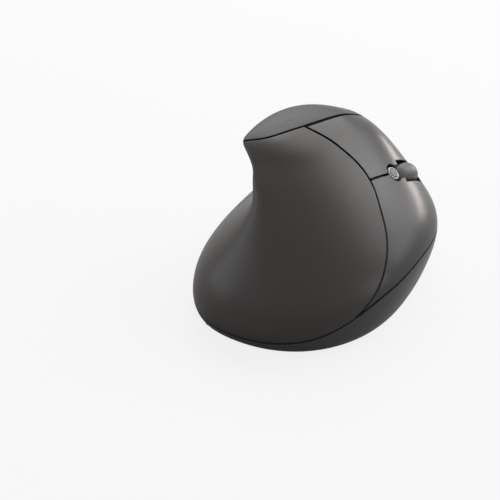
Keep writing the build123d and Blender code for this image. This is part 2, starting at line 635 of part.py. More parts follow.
def make_base_shell():
    """Lower moulding with its floor, bosses, standoffs, battery ribs and the bay of the receiver."""
    base = skin & below_seam(0)
    board_low = floor_top + BOARD_LIFT
    for x, y in board_corners:
        base += post(x, y, floor_top - FLOOR / 2, board_low, STANDOFF_RADIUS)
    for x, y in SCREWS.values():
        base += post(x, y, floor_top - FLOOR / 2, BOSS_TOP, BOSS_RADIUS)
        base -= post(x, y, 0, BOSS_TOP + 1, SCREW_RADIUS + FIT)
        base -= post(x, y, 0, FOOT_PROUD + SCREW_SEAT, SCREW_HEAD + FIT)
    length, width, thick = BATTERY
    rib = pad(BATTERY_X, BATTERY_Y, floor_top - FLOOR / 2, floor_top + BATTERY_RIB_HEIGHT,
              length + 2 * (FIT + BATTERY_RIB), width + 2 * (FIT + BATTERY_RIB), BATTERY_ROUND + BATTERY_RIB)
    rib -= pad(BATTERY_X, BATTERY_Y, floor_top, REACH, length + 2 * FIT, width + 2 * FIT, BATTERY_ROUND)
    rib -= block(span(BATTERY_X, length - 2 * BATTERY_HOOK), (-REACH, REACH), (floor_top, REACH))
    base += rib
    bay_width = RECEIVER_WIDTH + 2 * FIT
    bay_length = RECEIVER_CAP + PLUG_LENGTH + 2 * FIT
    bay_roof = FOOT_PROUD + BAY_SINK + RECEIVER_THICK + FIT
    base += block(span(BAY_X, bay_width + 2 * BAY_WALL), span(BAY_Y, bay_length + 2 * BAY_WALL),
                  (floor_top - FLOOR / 2, bay_roof + BAY_WALL))
    base -= block(span(BAY_X, bay_width), span(BAY_Y, bay_length), (0, bay_roof))
    base -= pad(SENSOR_X, SENSOR_Y, 0, REACH / 4, SENSOR_WINDOW[0], SENSOR_WINDOW[1], 2.0)
    slot_length = POWER_KNOB[0] + POWER_TRAVEL + 2 * FIT
    base -= block(span(POWER_X + POWER_TRAVEL / 2, slot_length), span(POWER_Y, POWER_KNOB[1] + 2 * FIT),
                  (0, floor_top + 1))
    for x, y, length, width in FEET.values():
        base -= pad(x, y, 0, FOOT_PROUD + FOOT_SINK, length + 2 * FOOT_EDGE, width + 2 * FOOT_EDGE,
                    FOOT_ROUND + FOOT_EDGE)
    base -= rod((SOCKET_X, 30, socket_z), (SOCKET_X, REACH, socket_z), SOCKET_PORT)
    return base


def make_main_board():
    """Main circuit board with a tongue to the front for the charge socket."""
    low = floor_top + BOARD_LIFT
    board = pad(BOARD_X, BOARD_Y, low, low + BOARD, BOARD_LENGTH, BOARD_WIDTH, BOARD_ROUND)
    board += block(span(SOCKET_X, TONGUE_WIDTH), (BOARD_Y, socket_front - SOCKET_SETBACK), (low, low + BOARD))
    board -= pad(SENSOR_X, SENSOR_Y, low - 1, low + BOARD + 1, SENSOR_WINDOW[0], SENSOR_WINDOW[1], 2.0)
    return board


board_corners = [(x, y) for x in span(BOARD_X, BOARD_LENGTH - 2 * STANDOFF_INSET)
                 for y in span(BOARD_Y, BOARD_WIDTH - 2 * STANDOFF_INSET)]
main_board_top = floor_top + BOARD_LIFT + BOARD
socket_z = main_board_top + SOCKET[2] / 2
socket_front = 40.4


def make_charge_socket():
    """Barrel socket at the front edge of the main board."""
    rear = socket_front - SOCKET[1]
    body = block(span(SOCKET_X, SOCKET[0]), (rear, socket_front), (main_board_top, main_board_top + SOCKET[2]))
    body = chamfer(body.edges().filter_by(Axis.Y).group_by(Axis.Z)[-1], 0.8)
    return body - rod((SOCKET_X, rear + 1, socket_z), (SOCKET_X, REACH, socket_z), SOCKET_BORE)


def make_lens():
    """Clear lens plate between the floor and the board, with its eye over the window."""
    low = floor_top
    high = floor_top + BOARD_LIFT
    lens = block(span(SENSOR_X, LENS[0]), span(SENSOR_Y, LENS[1]), (low, low + LENS_PLATE))
    lens += post(SENSOR_X, SENSOR_Y, low, high, LENS_STEM)
    lens += Pos(SENSOR_X, SENSOR_Y, low) * Sphere(LENS_EYE)
    return lens


def make_sensor():
    """Optical sensor chip on the board."""
    body = block(span(SENSOR_X, CHIP[0]), span(SENSOR_Y, CHIP[1]), (main_board_top, main_board_top + CHIP[2]))
    return chamfer(body.edges().group_by(Axis.Z)[-1], 0.3)


def make_led():
    """Light of the sensor, lying on the board beside the chip."""
    start = SENSOR_X + CHIP[0] / 2 + FIT
    middle = main_board_top + LED_RADIUS
    led = rod((start + LED_RADIUS, SENSOR_Y, middle), (start + LED_LENGTH, SENSOR_Y, middle), LED_RADIUS)
    return led + Pos(start + LED_RADIUS, SENSOR_Y, middle) * Sphere(LED_RADIUS)


def make_battery():
    """Flat rechargeable cell between its ribs."""
    length, width, thick = BATTERY
    low = floor_top + BATTERY_PAD
    cell = pad(BATTERY_X, BATTERY_Y, low, low + thick, length, width, BATTERY_ROUND)
    return fillet(cell.edges().group_by(Axis.Z)[-1], 0.8)


def make_battery_pad():
    """Foam pad that the cell is stuck to."""
    length, width, thick = BATTERY
    return pad(BATTERY_X, BATTERY_Y, floor_top, floor_top + BATTERY_PAD, length - 4, width - 4, BATTERY_ROUND)


def make_receiver():
    """Grip of the radio receiver stowed in its bay."""
    low = FOOT_PROUD + BAY_SINK
    start = BAY_Y - (RECEIVER_CAP + PLUG_LENGTH) / 2
    cap = block(span(BAY_X, RECEIVER_WIDTH), (start, start + RECEIVER_CAP), (low, low + RECEIVER_THICK))
    return fillet(cap.edges().group_by(Axis.Y)[0], 1.2)


def make_receiver_plug():
    """Metal plug shell of the receiver with its tongue."""
    middle = FOOT_PROUD + BAY_SINK + RECEIVER_THICK / 2
    start = BAY_Y - (RECEIVER_CAP + PLUG_LENGTH) / 2 + RECEIVER_CAP
    end = start + PLUG_LENGTH
    inner_width = span(BAY_X, PLUG_WIDTH - 2 * PLUG_SHELL)
    inner_thick = span(middle, PLUG_THICK - 2 * PLUG_SHELL)
    shell = block(span(BAY_X, PLUG_WIDTH), (start, end), span(middle, PLUG_THICK))
    shell -= block(inner_width, (start + PLUG_ROOT, end + 1), inner_thick)
    shell += block(inner_width, (start, end - PLUG_SHELL), (middle, inner_thick[1]))
    return shell


def make_power_slider():
    """Knob of the power switch: a flange that lies on the floor and a ridge in the slot."""
    low = floor_top + RUNNING_FIT
    slider = block(span(POWER_X, POWER_KNOB[0] + 2 * POWER_TRAVEL + POWER_LAP),
                   span(POWER_Y, POWER_KNOB[1] + 2 * POWER_LAP), (low, low + POWER_FLANGE))
    slider += block(span(POWER_X, POWER_KNOB[0]), span(POWER_Y, POWER_KNOB[1]), (FOOT_PROUD + POWER_SINK, low))
    slider += block(span(POWER_X, POWER_LEVER), span(POWER_Y, POWER_LEVER), (low, power_switch_low - 0.1))
    return slider


power_switch_low = floor_top + BOARD_LIFT - POWER_SWITCH[2]


def make_power_switch():
    """Slide switch under the main board."""
    length, width, height = POWER_SWITCH
    return block(span(POWER_X + POWER_TRAVEL / 2, length), span(POWER_Y, width),
                 (power_switch_low, power_switch_low + height))


def make_foot(place):
    """Low-friction glide foot in its shallow pocket."""
    x, y, length, width = place
    return pad(x, y, 0, FOOT_PROUD + FOOT_SINK, length, width, FOOT_ROUND)


def make_screw(place):
    """Screw from below through the base into the boss of a shell."""
    x, y = place
    seat = FOOT_PROUD + SCREW_SEAT
    screw = post(x, y, seat - SCREW_HEAD_HEIGHT, seat, SCREW_HEAD)
    screw += post(x, y, seat, seat + SCREW_LENGTH, SCREW_RADIUS)
    screw -= Pos(x, y, seat - SCREW_HEAD_HEIGHT) * Box(2.4, 0.5, 1.2)
    screw -= Pos(x, y, seat - SCREW_HEAD_HEIGHT) * Box(0.5, 2.4, 1.2)
    return screw


nodes = {
    "base_shell": make_base_shell(),
    "palm_shell": make_palm_shell(),
    "thumb_panel": make_thumb_panel(),
    "index_key": make_finger_key(1, (EAR_PLACES["middle"][1], EAR_PLACES["left"][0]), INDEX_SWITCH),
    "middle_key": make_finger_key(-1, (EAR_PLACES["right"][1], EAR_PLACES["middle"][0]), MIDDLE_SWITCH),
    "key_frame": make_key_frame(),
    "hinge_pin": KEYS * across(PIVOT_X, PIVOT_Z, EAR_PLACES["right"][0], EAR_PLACES["left"][1], PIN_RADIUS),
    "key_board": make_key_board(),
    "index_switch": make_key_switch(INDEX_SWITCH),
    "middle_switch": make_key_switch(MIDDLE_SWITCH),
    "index_plunger": make_plunger(INDEX_SWITCH),
    "middle_plunger": make_plunger(MIDDLE_SWITCH),
    "wheel_tyre": make_tyre(),
    "wheel_hub": make_hub(),
    "wheel_cradle": make_cradle(),
    "wheel_encoder": make_encoder(),
    "wheel_switch": make_wheel_switch(),
    "wheel_plunger": make_wheel_plunger(),
    "dpi_key": make_dpi_key(),
    "dpi_ring": make_dpi_ring(),
    "dpi_switch": make_dpi_switch(),
    "dpi_plunger": make_dpi_plunger(),
    "thumb_board": make_thumb_board(),
    "main_board": make_main_board(),
    "charge_socket": make_charge_socket(),
    "sensor_lens": make_lens(),
    "sensor_chip": make_sensor(),
    "sensor_light": make_led(),
    "battery_cell": make_battery(),
    "battery_pad": make_battery_pad(),
    "receiver_grip": make_receiver(),
    "receiver_plug": make_receiver_plug(),
    "power_slider": make_power_slider(),
    "power_switch": make_power_switch(),
}
for name, place in THUMB_KEYS.items():
    nodes[name + "_key"] = make_thumb_key(place)
    nodes[name + "_switch"] = make_thumb_switch(place)
    nodes[name + "_plunger"] = make_thumb_plunger(place)
for name, place in FEET.items():
    nodes[name] = make_foot(place)
for name, place in SCREWS.items():
    nodes["screw_" + name] = make_screw(place)

os.makedirs("parts", exist_ok=True)
for name, solid in nodes.items():
    export_step(solid, f"parts/{name}.step")
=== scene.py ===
import bmesh
import bpy
from math import cos, pi, sin
from mathutils import Matrix, Vector


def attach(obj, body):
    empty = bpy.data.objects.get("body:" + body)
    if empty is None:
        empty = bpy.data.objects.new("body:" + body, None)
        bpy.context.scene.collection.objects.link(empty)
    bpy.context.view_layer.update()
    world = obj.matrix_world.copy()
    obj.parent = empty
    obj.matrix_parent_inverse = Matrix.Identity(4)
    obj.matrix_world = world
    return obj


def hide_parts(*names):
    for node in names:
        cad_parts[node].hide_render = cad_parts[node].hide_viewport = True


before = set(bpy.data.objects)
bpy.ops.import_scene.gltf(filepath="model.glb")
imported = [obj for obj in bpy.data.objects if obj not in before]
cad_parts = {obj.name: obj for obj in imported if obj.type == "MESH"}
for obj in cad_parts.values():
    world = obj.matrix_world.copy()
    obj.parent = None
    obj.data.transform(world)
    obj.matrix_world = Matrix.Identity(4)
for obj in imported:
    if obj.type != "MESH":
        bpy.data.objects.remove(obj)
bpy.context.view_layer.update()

# View: the mouse stands on a white table, and the camera looks down over its heel from its right, as a hand
# comes to it, through a long lens. All lengths in this file are metres.
camera_place = (0.16185, -0.32688, 0.29552)
camera_aim = (-0.02727, 0.00069, 0.0)
focal_length = 96.08
film_width = 36.0
nearest_seen = 0.01


def put(name, data):
    """Stands a new object in the scene, made of a mesh, a lamp or a lens."""
    made = bpy.data.objects.new(name, data)
    bpy.context.collection.objects.link(made)
    return made


def point(made, place, aim):
    """Sets a camera or a lamp at its place and turns it to its aim."""
    made.location = place
    made.rotation_euler = (Vector(aim) - Vector(place)).to_track_quat("-Z", "Y").to_euler()


lens = bpy.data.cameras.new("view")
lens.lens = focal_length
lens.sensor_width = film_width
lens.clip_start = nearest_seen
camera = put("view", lens)
point(camera, camera_place, camera_aim)
bpy.context.scene.camera = camera
bpy.context.scene.view_settings.view_transform = "Standard"

# Table top: a plain board, painted white and large enough to fill every view. To the eye most of it is
# plain white, and in reflections a little of it, so that the mouse casts a shadow as faint as in a studio.
table_reach = 3.0
table_cells = 6
table_paint = (0.86, 0.86, 0.86, 1.0)
white = (1.0, 1.0, 1.0, 1.0)
white_to_eye = 0.84
white_in_gloss = 0.05


class Reading:
    """What a socket gives from place to place. Sums and products of readings add their Math nodes."""

    def __init__(self, finish, socket):
        self.finish = finish
        self.socket = socket

    def math(self, operation, *terms):
        return self.finish.node("ShaderNodeMath", {"operation": operation}, dict(enumerate(terms)))

    def __add__(self, other):
        return self.math("ADD", self, other)

    def __radd__(self, other):
        return self.math("ADD", other, self)

    def __mul__(self, other):
        return self.math("MULTIPLY", self, other)

    def __rmul__(self, other):
        return self.math("MULTIPLY", other, self)

    def __gt__(self, other):
        return self.math("GREATER_THAN", self, other)

    def __or__(self, other):
        """The larger of two readings."""
        return self.math("MAXIMUM", self, other)


class Finish:
    """One finish of the mouse or of what stands around it: a material or the world, and its nodes."""

    def __init__(self, name, shelf=bpy.data.materials):
        self.owner = shelf.new(name)
        self.owner.use_nodes = True
        self.tree = self.owner.node_tree
        self.tree.nodes.clear()

    def node(self, kind, settings, values, output=0):
        made = self.tree.nodes.new(kind)
        for name, value in settings.items():
            setattr(made, name, value)
        for name, value in values.items():
            if isinstance(value, Reading):
                self.tree.links.new(value.socket, made.inputs[name])
            else:
                made.inputs[name].default_value = value
        return Reading(self, made.outputs[output]) if made.outputs else None

    def ray(self, kind):
        """1 for the rays of one kind and 0 for all others."""
        return self.node("ShaderNodeLightPath", {}, {}, kind)

    def place(self):
        return self.node("ShaderNodeTexCoord", {}, {}, "Object")

    def grain(self, size, detail=2.0, rough=0.5):
        return self.node("ShaderNodeTexNoise", {}, {
            "Vector": self.place(), "Scale": 1.0 / size, "Detail": detail, "Roughness": rough})

    def streaks(self, stretch, per_metre, detail=3.0):
        """A grain drawn out into lines: where the stretch is small, the lines are long."""
        drawn = self.node("ShaderNodeMapping", {}, {"Vector": self.place(), "Scale": stretch})
        return self.node("ShaderNodeTexNoise", {}, {"Vector": drawn, "Scale": per_metre, "Detail": detail})

    def blend(self, share, ground, fleck):
        """The colour of the ground where the share is 0, and of the fleck where it is 1."""
        factor, first, second, mixed = 0, 6, 7, 2
        colours = {factor: share, first: ground, second: fleck}
        return self.node("ShaderNodeMix", {"data_type": "RGBA"}, colours, mixed)

    def seam_shade_mask(self, seam_depth, dark_below=0.36, light_above=0.66):
        """1 on a face that the light reaches, falling to 0 down in a seam; it masks the shade painted into
        seams.
        """
        sky = self.node("ShaderNodeAmbientOcclusion", {"samples": 8}, {"Distance": seam_depth}, "AO")
        return self.node("ShaderNodeMapRange", {"clamp": True}, {
            "Value": sky, "From Min": dark_below, "From Max": light_above, "To Min": 0.0, "To Max": 1.0})

    def relief(self, height, depth, strength, rounding=None):
        """Small ups and downs of a face, and its edges rounded by a radius if one is given."""
        values = {"Height": height, "Distance": depth, "Strength": strength}
        if rounding is not None:
            values["Normal"] = self.node("ShaderNodeBevel", {"samples": 6}, {"Radius": rounding})
        return self.node("ShaderNodeBump", {}, values)

    def surface(self, values):
        shader = self.node("ShaderNodeBsdfPrincipled", {}, values)
        self.node("ShaderNodeOutputMaterial", {}, {"Surface": shader})
        return self.owner

    def mottled(self, pattern, ground, fleck, matt, spread, depth, strength, rounding=None, fixed=()):
        """A surface whose colour, roughness and relief follow one pattern, beside its fixed values."""
        values = {
            "Base Color": self.blend(pattern, ground, fleck),
            "Roughness": matt + pattern * spread,
            "Normal": self.relief(pattern, depth, strength, rounding),
        }
        values.update(fixed)
        return self.surface(values)


def form(name, shape, material):
    """Turns a finished shape into an object of one material."""
    mesh = bpy.data.meshes.new(name)
    shape.to_mesh(mesh)
    shape.free()
    mesh.materials.append(material)
    return put(name, mesh)


table = Finish("table_white")
to_eye = (table.ray("Is Camera Ray") | table.ray("Is Transmission Ray")) * white_to_eye
in_gloss = table.ray("Is Glossy Ray") * white_in_gloss
matt_board = table.node("ShaderNodeBsdfDiffuse", {}, {"Color": table_paint})
plain_board = table.node("ShaderNodeEmission", {}, {"Color": white, "Strength": 1.0})
board = table.node("ShaderNodeMixShader", {}, {0: to_eye | in_gloss, 1: matt_board, 2: plain_board})
table.node("ShaderNodeOutputMaterial", {}, {"Surface": board})
sheet = bmesh.new()
bmesh.ops.create_grid(sheet, x_segments=table_cells, y_segments=table_cells, size=table_reach)
table_top = form("table_top", sheet, table.owner)

# Room: white walls to the eye and in reflections, and no more than a low even light to everything else, so
# that the soft boxes alone model the mouse.
room_light = 0.045
room = Finish("room", bpy.data.worlds)
bpy.context.scene.world = room.owner
white_wall = room.ray("Is Camera Ray") | room.ray("Is Glossy Ray") | room.ray("Is Transmission Ray")
walls = room.node("ShaderNodeBackground", {}, {
    "Color": white, "Strength": white_wall * (1.0 - room_light) + room_light})
room.node("ShaderNodeOutputWorld", {}, {"Surface": walls})

# Soft boxes: three at the back rake over the crest and the shoulders and leave the heel in their shade. A
# low strip on the horizon draws the bright line along the front of the keys, a weak box at the right lifts
# the skirt, and one at the left front lights the flare of the palm.
lamp_white = (1.0, 1.0, 1.0)
lamp_warm = (1.0, 0.98, 0.96)
lamp_rosy = (1.0, 0.9, 0.89)
foot_of_mouse = (0.0, 0.0, 0.02)
front_of_keys = (0.0, 0.0, 0.03)
# Name, place, aim, width, height, watts and tint.
soft_boxes = (
    ("lamp_back", (0.1, 0.75, 0.75), foot_of_mouse, 1.2, 0.7, 7.4, lamp_warm),
    ("lamp_back_right", (0.6, 0.6, 0.5), foot_of_mouse, 0.7, 0.7, 3.2, lamp_white),
    ("lamp_right", (0.85, 0.05, 0.2), foot_of_mouse, 0.3, 0.2, 0.5, lamp_white),
    ("lamp_back_left", (-0.6, 0.6, 0.6), foot_of_mouse, 0.6, 0.6, 3.1, lamp_white),
    ("lamp_horizon", (0.3, 1.0, 0.07), front_of_keys, 0.45, 0.08, 1.9, lamp_rosy),
    ("lamp_left_front", (-0.75, -0.5, 0.3), foot_of_mouse, 0.8, 0.7, 2.6, lamp_white),
)
for name, place, aim, width, height, watts, tint in soft_boxes:
    box = bpy.data.lights.new(name, "AREA")
    box.shape = "RECTANGLE"
    box.size = width
    box.size_y = height
    box.energy = watts
    box.color = tint
    point(put(name, box), place, aim)

# Base shell: the lower moulding of black glass-filled plastic, with a fine eroded grain all over and
# painted shade, black, down in its seams. It carries everything else on its floor and shows as a skirt that
# rises along the right side.
skirt_grain = 0.00022
skirt_clouds = 0.018
skirt_seam = 0.0008
skirt_black = (0.076, 0.075, 0.075, 1.0)
# Black painted into the seams of the skirt and the lacquered shells as their shade.
painted_seam_shade = (0.0, 0.0, 0.0, 1.0)
darkest_cloud = 0.75
cloud_depth = 0.5


def dress(material, *names):
    """Covers solids of the part with a material and shades them smooth."""
    for name in names:
        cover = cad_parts[name]
        cover.data.materials.clear()
        cover.data.materials.append(material)
        for face in cover.data.polygons:
            face.use_smooth = True


skirt = Finish("skirt_plastic")
eroded = skirt.grain(skirt_grain, detail=3.0)
cloudy = darkest_cloud + skirt.grain(skirt_clouds) * cloud_depth
dress(skirt.surface({
    # Base colour: random clouds of tone, with painted shade falling to black down in the seams.
    "Base Color": skirt.blend(cloudy * skirt.seam_shade_mask(skirt_seam), painted_seam_shade, skirt_black),
    "Roughness": 0.26 + eroded * 0.1,
    "Specular IOR Level": 0.2,
    "Normal": skirt.relief(eroded, depth=0.00002, strength=0.35, rounding=0.00025),
}), "base_shell")

# Glide feet: thin pads of slippery dark plastic, punched from sheet and stuck in shallow pockets under the
# floor. They stand a little proud of it, and use leaves fine scratches on them.
foot_dark = (0.09, 0.09, 0.092, 1.0)
foot_rubbed = (0.13, 0.13, 0.133, 1.0)
foot = Finish("glide_plastic")
scratches = foot.streaks(stretch=(1.0, 14.0, 1.0), per_metre=900.0)
dress(foot.mottled(scratches, foot_dark, foot_rubbed, matt=0.28, spread=0.3, depth=0.00001,
                   strength=0.3, rounding=0.0002), "front_foot", "rear_foot", "side_foot", "thumb_foot")

# Screws and hinge pin: zinc-plated steel. The screws have a cross slot, cut their own thread and are driven
# from below into the bosses of the shells. The pin lies in the ears of the key frame.
zinc_dull = (0.5, 0.5, 0.5, 1.0)
zinc_bright = (0.66, 0.65, 0.62, 1.0)
zinc = Finish("zinc_steel")
bloom = zinc.grain(size=0.0009, detail=4.0)
dress(zinc.mottled(bloom, zinc_dull, zinc_bright, matt=0.25, spread=0.2, depth=0.00001, strength=0.3,
                   rounding=0.0001, fixed={"Metallic": 1.0}),
      "screw_palm_rear", "screw_palm_left", "screw_palm_right", "screw_panel_front", "hinge_pin")

# Power knob and side keys: satin caps of dark moulded plastic. The knob shows through its slot in the floor
# and moves the slide switch above it, and the side keys look out of their openings in the thumb panel.
cap_dark = (0.035, 0.035, 0.037, 1.0)
cap_light = (0.05, 0.05, 0.052, 1.0)
cap = Finish("knob_plastic")
satin = cap.grain(size=0.0003)
dress(cap.mottled(satin, cap_dark, cap_light, matt=0.4, spread=0.15, depth=0.00002, strength=0.3,
                  rounding=0.00015), "power_slider", "back_key", "forward_key")

# Receiver, switches, charge socket and sensor chip: housings of black moulded plastic. The receiver is a
# short radio plug with such a grip and a shell of folded bright steel, stowed in its bay under the mouse.
housing_dark = (0.02, 0.02, 0.021, 1.0)
housing_light = (0.032, 0.032, 0.034, 1.0)
housing = Finish("grip_plastic")
speck = housing.grain(size=0.0004)
dress(housing.mottled(speck, housing_dark, housing_light, matt=0.36, spread=0.16, depth=0.00002,
                      strength=0.25, rounding=0.0002),
      "receiver_grip", "index_switch", "middle_switch", "wheel_switch", "dpi_switch", "back_switch",
      "forward_switch", "charge_socket", "sensor_chip", "power_switch")
plug_dark = (0.62, 0.62, 0.61, 1.0)
plug_light = (0.74, 0.74, 0.73, 1.0)
plug = Finish("plug_steel")
drawn = plug.streaks(stretch=(1.0, 0.05, 1.0), per_metre=5000.0, detail=2.0)
dress(plug.mottled(drawn, plug_dark, plug_light, matt=0.18, spread=0.16, depth=0.000005, strength=0.3,
                   rounding=0.00012, fixed={"Metallic": 1.0}), "receiver_plug")

# Battery: a flat pouch cell in creased silver laminate, set between the ribs of the floor. It is stuck to a
# pad of black foam.
pouch_dark = (0.5, 0.5, 0.51, 1.0)
pouch_light = (0.68, 0.68, 0.69, 1.0)
pouch = Finish("pouch_laminate")
creases = pouch.grain(size=0.004, detail=5.0, rough=0.6)
dress(pouch.mottled(creases, pouch_dark, pouch_light, matt=0.3, spread=0.2, depth=0.0004, strength=0.4,
                    rounding=0.0004, fixed={"Metallic": 0.85}), "battery_cell")
# Painted shade: the colour darkens towards the middle of each foam cell, where its hollow lies.
painted_pore_shade = (0.015, 0.015, 0.016, 1.0)
foam_wall = (0.045, 0.045, 0.047, 1.0)
foam_cells_per_metre = 2600.0
foam = Finish("black_foam")
cells = foam.node("ShaderNodeTexVoronoi", {}, {"Vector": foam.place(), "Scale": foam_cells_per_metre})
dress(foam.surface({
    "Base Color": foam.blend(cells, painted_pore_shade, foam_wall),
    "Roughness": 0.9,
    "Normal": foam.relief(cells, depth=0.0001, strength=0.6),
}), "battery_pad")

# Circuit boards: glass laminate under green solder mask, its copper tracks a lighter pattern. One rests on
# posts of the floor, one on the deck of the key frame, and one stands upright behind the side keys.
mask_over_copper = (0.012, 0.07, 0.026, 1.0)
mask_over_glass = (0.004, 0.034, 0.015, 1.0)
fields_per_metre = 420.0
track_half_width = 0.12
mask = Finish("solder_mask")
from_track = mask.node("ShaderNodeTexVoronoi", {"feature": "DISTANCE_TO_EDGE", "distance": "CHEBYCHEV"},
                       {"Vector": mask.place(), "Scale": fields_per_metre})
dress(mask.mottled(from_track > track_half_width, mask_over_copper, mask_over_glass, matt=0.3,
                   spread=0.08, depth=0.00003, strength=0.5, rounding=0.0001,
                   fixed={"Coat Weight": 0.3}), "main_board", "key_board", "thumb_board")

# Board parts: epoxy packages on tinned legs, ceramic capacitors with tinned ends and the metal can of the
# clock crystal. A machine sets them on the main board, and an oven solders them in one pass.
board_top = 0.009
package_high = 0.00085
package_edge = 0.00012
leg_thick = 0.00012
leg_broad = 0.00028
leg_edge = 0.00003
leg_foot_long = 0.0007
leg_foot_out = 0.0003
leg_shin_out = 0.00006
# Middle across and along, width, depth, and legs at either side.
packages = (
    (-0.0050, 0.0200, 0.0050, 0.0050, 6),
    (0.0035, 0.0225, 0.0030, 0.0016, 3),
    (-0.0190, 0.0215, 0.0039, 0.0049, 4),
)
capacitor_places = (
    (-0.0098, 0.0170), (-0.0098, 0.0188), (-0.0098, 0.0206), (-0.0004, 0.0185), (-0.0004, 0.0203),
    (0.0035, 0.0196), (0.0035, 0.0252), (-0.0150, 0.0190), (-0.0150, 0.0208), (-0.0150, 0.0226),
)
capacitor_long, capacitor_broad, capacitor_high = 0.0016, 0.0008, 0.0007
capacitor_edge = 0.00005
tinned_end = 0.00035
tinned_end_edge = 0.00008
tin_beside = 0.0001
tin_above = 0.00004
crystal_place = (-0.0050, 0.0250)
crystal_long, crystal_broad, crystal_high = 0.0032, 0.0016, 0.0007
crystal_rim = 0.0004
crystal_rim_high = 0.0002
crystal_rim_edge = 0.00005
crystal_edge = 0.00018


def block(made, centre, size, edge):
    """Adds a box with rounded edges to a shape."""
    corners = bmesh.ops.create_cube(made, size=1.0)["verts"]
    bmesh.ops.scale(made, vec=size, verts=corners)
    bmesh.ops.translate(made, vec=centre, verts=corners)
    rims = list(dict.fromkeys(rim for corner in corners for rim in corner.link_edges))
    bmesh.ops.bevel(made, geom=rims, offset=edge, segments=2, affect="EDGES")


def solder_down(name, shape, material):
    """Makes a piece of a shape and fixes it on the main board."""
    piece = form(name, shape, material)
    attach(piece, "base")


epoxy_parts = bmesh.new()
tinned_parts = bmesh.new()
ceramic_parts = bmesh.new()
for x, y, wide, deep, legs in packages:
    package_middle = board_top + leg_thick + package_high / 2
    block(epoxy_parts, (x, y, package_middle), (wide, deep, package_high), package_edge)
    for leg in range(legs):
        along = y + deep * ((leg + 0.5) / legs - 0.5)
        for side in (-1.0, 1.0):
            block(tinned_parts, (x + side * (wide / 2 + leg_foot_out), along, board_top + leg_thick / 2),
                  (leg_foot_long, leg_broad, leg_thick), leg_edge)
            shin_middle = board_top + leg_thick + package_high / 4
            block(tinned_parts, (x + side * (wide / 2 + leg_shin_out), along, shin_middle),
                  (leg_thick, leg_broad, package_high / 2), leg_edge)
for x, y in capacitor_places:
    block(ceramic_parts, (x, y, board_top + capacitor_high / 2 + tin_above / 2),
          (capacitor_long - tinned_end, capacitor_broad - tin_beside, capacitor_high - tin_above),
          capacitor_edge)
    for side in (-1.0, 1.0):
        end_middle = x + side * (capacitor_long - tinned_end) / 2
        block(tinned_parts, (end_middle, y, board_top + capacitor_high / 2),
              (tinned_end, capacitor_broad, capacitor_high), tinned_end_edge)
block(tinned_parts, (*crystal_place, board_top + crystal_rim_high / 2),
      (crystal_long, crystal_broad, crystal_rim_high), crystal_rim_edge)
block(tinned_parts, (*crystal_place, board_top + crystal_high / 2),
      (crystal_long - crystal_rim, crystal_broad - crystal_rim, crystal_high), crystal_edge)
epoxy_dark = (0.012, 0.012, 0.013, 1.0)
epoxy_light = (0.03, 0.03, 0.032, 1.0)
epoxy = Finish("package_epoxy")
solder_down("board_packages", epoxy_parts, epoxy.mottled(
    epoxy.grain(size=0.0002, detail=3.0), epoxy_dark, epoxy_light, matt=0.45, spread=0.2, depth=0.00001,
    strength=0.3))
tin_dull = (0.6, 0.6, 0.6, 1.0)
tin_bright = (0.78, 0.78, 0.77, 1.0)
tin = Finish("tinned_copper")
solder_down("board_solder", tinned_parts, tin.mottled(
    tin.grain(size=0.0003, detail=4.0), tin_dull, tin_bright, matt=0.24, spread=0.2, depth=0.00001,
    strength=0.4, fixed={"Metallic": 1.0}))
ceramic_dark = (0.3, 0.17, 0.08, 1.0)
ceramic_light = (0.42, 0.26, 0.14, 1.0)
ceramic = Finish("capacitor_ceramic")
solder_down("board_capacitors", ceramic_parts, ceramic.mottled(
    ceramic.grain(size=0.0003, detail=3.0), ceramic_dark, ceramic_light, matt=0.4, spread=0.15,
    depth=0.00001, strength=0.3))

# Plungers: moulded nylon pins that carry the stroke of each key into its switch. They are pale, so that
# they show in the dark housings.
nylon_dark = (0.66, 0.63, 0.56, 1.0)
nylon_light = (0.78, 0.75, 0.69, 1.0)
nylon = Finish("pale_nylon")
dress(nylon.mottled(nylon.grain(size=0.0005), nylon_dark, nylon_light, matt=0.4, spread=0.1, depth=0.00001,
                    strength=0.2, rounding=0.0001),
      "index_plunger", "middle_plunger", "wheel_plunger", "dpi_plunger", "back_plunger", "forward_plunger")

# Sensor optics: a lens plate moulded in clear plastic, which lies between the floor and the main board with
# its eye over the window, and the clear bullet of the light beside the sensor chip.
clear_cool = (0.9, 0.93, 0.95, 1.0)
clear_pure = (0.97, 0.98, 1.0, 1.0)
optics = Finish("clear_plastic")
ripple = optics.grain(size=0.002)
dress(optics.surface({
    "Base Color": optics.blend(ripple, clear_cool, clear_pure),
    "Roughness": 0.03 + ripple * 0.04,
    "Transmission Weight": 0.9,
    "IOR": 1.49,
}), "sensor_lens", "sensor_light")

# Key frame, wheel cradle, turn counter and wheel hub: mouldings of plain dark plastic that nobody sees,
# left as they leave the mould, with the faint lines along which the plastic flowed.
moulding_dark = (0.05, 0.05, 0.052, 1.0)
moulding_light = (0.075, 0.075, 0.078, 1.0)
moulding = Finish("plain_moulding")
flow = moulding.streaks(stretch=(1.0, 0.2, 1.0), per_metre=300.0)
dress(moulding.mottled(flow, moulding_dark, moulding_light, matt=0.4, spread=0.2, depth=0.00002,
                       strength=0.3, rounding=0.0002),
      "key_frame", "wheel_cradle", "wheel_encoder", "wheel_hub")

# Wheel tyre: a moulded band of smooth dark rubber on the rim of the hub, rounded right across like a bead,
# with a faint bloom on its face.
rubber_dark = (0.085, 0.085, 0.086, 1.0)
rubber_light = (0.105, 0.105, 0.106, 1.0)
tyre = Finish("smooth_rubber")
dress(tyre.mottled(tyre.grain(size=0.0012, detail=3.0), rubber_dark, rubber_light, matt=0.36, spread=0.1,
                   depth=0.00002, strength=0.3, fixed={"Specular IOR Level": 0.45}), "wheel_tyre")

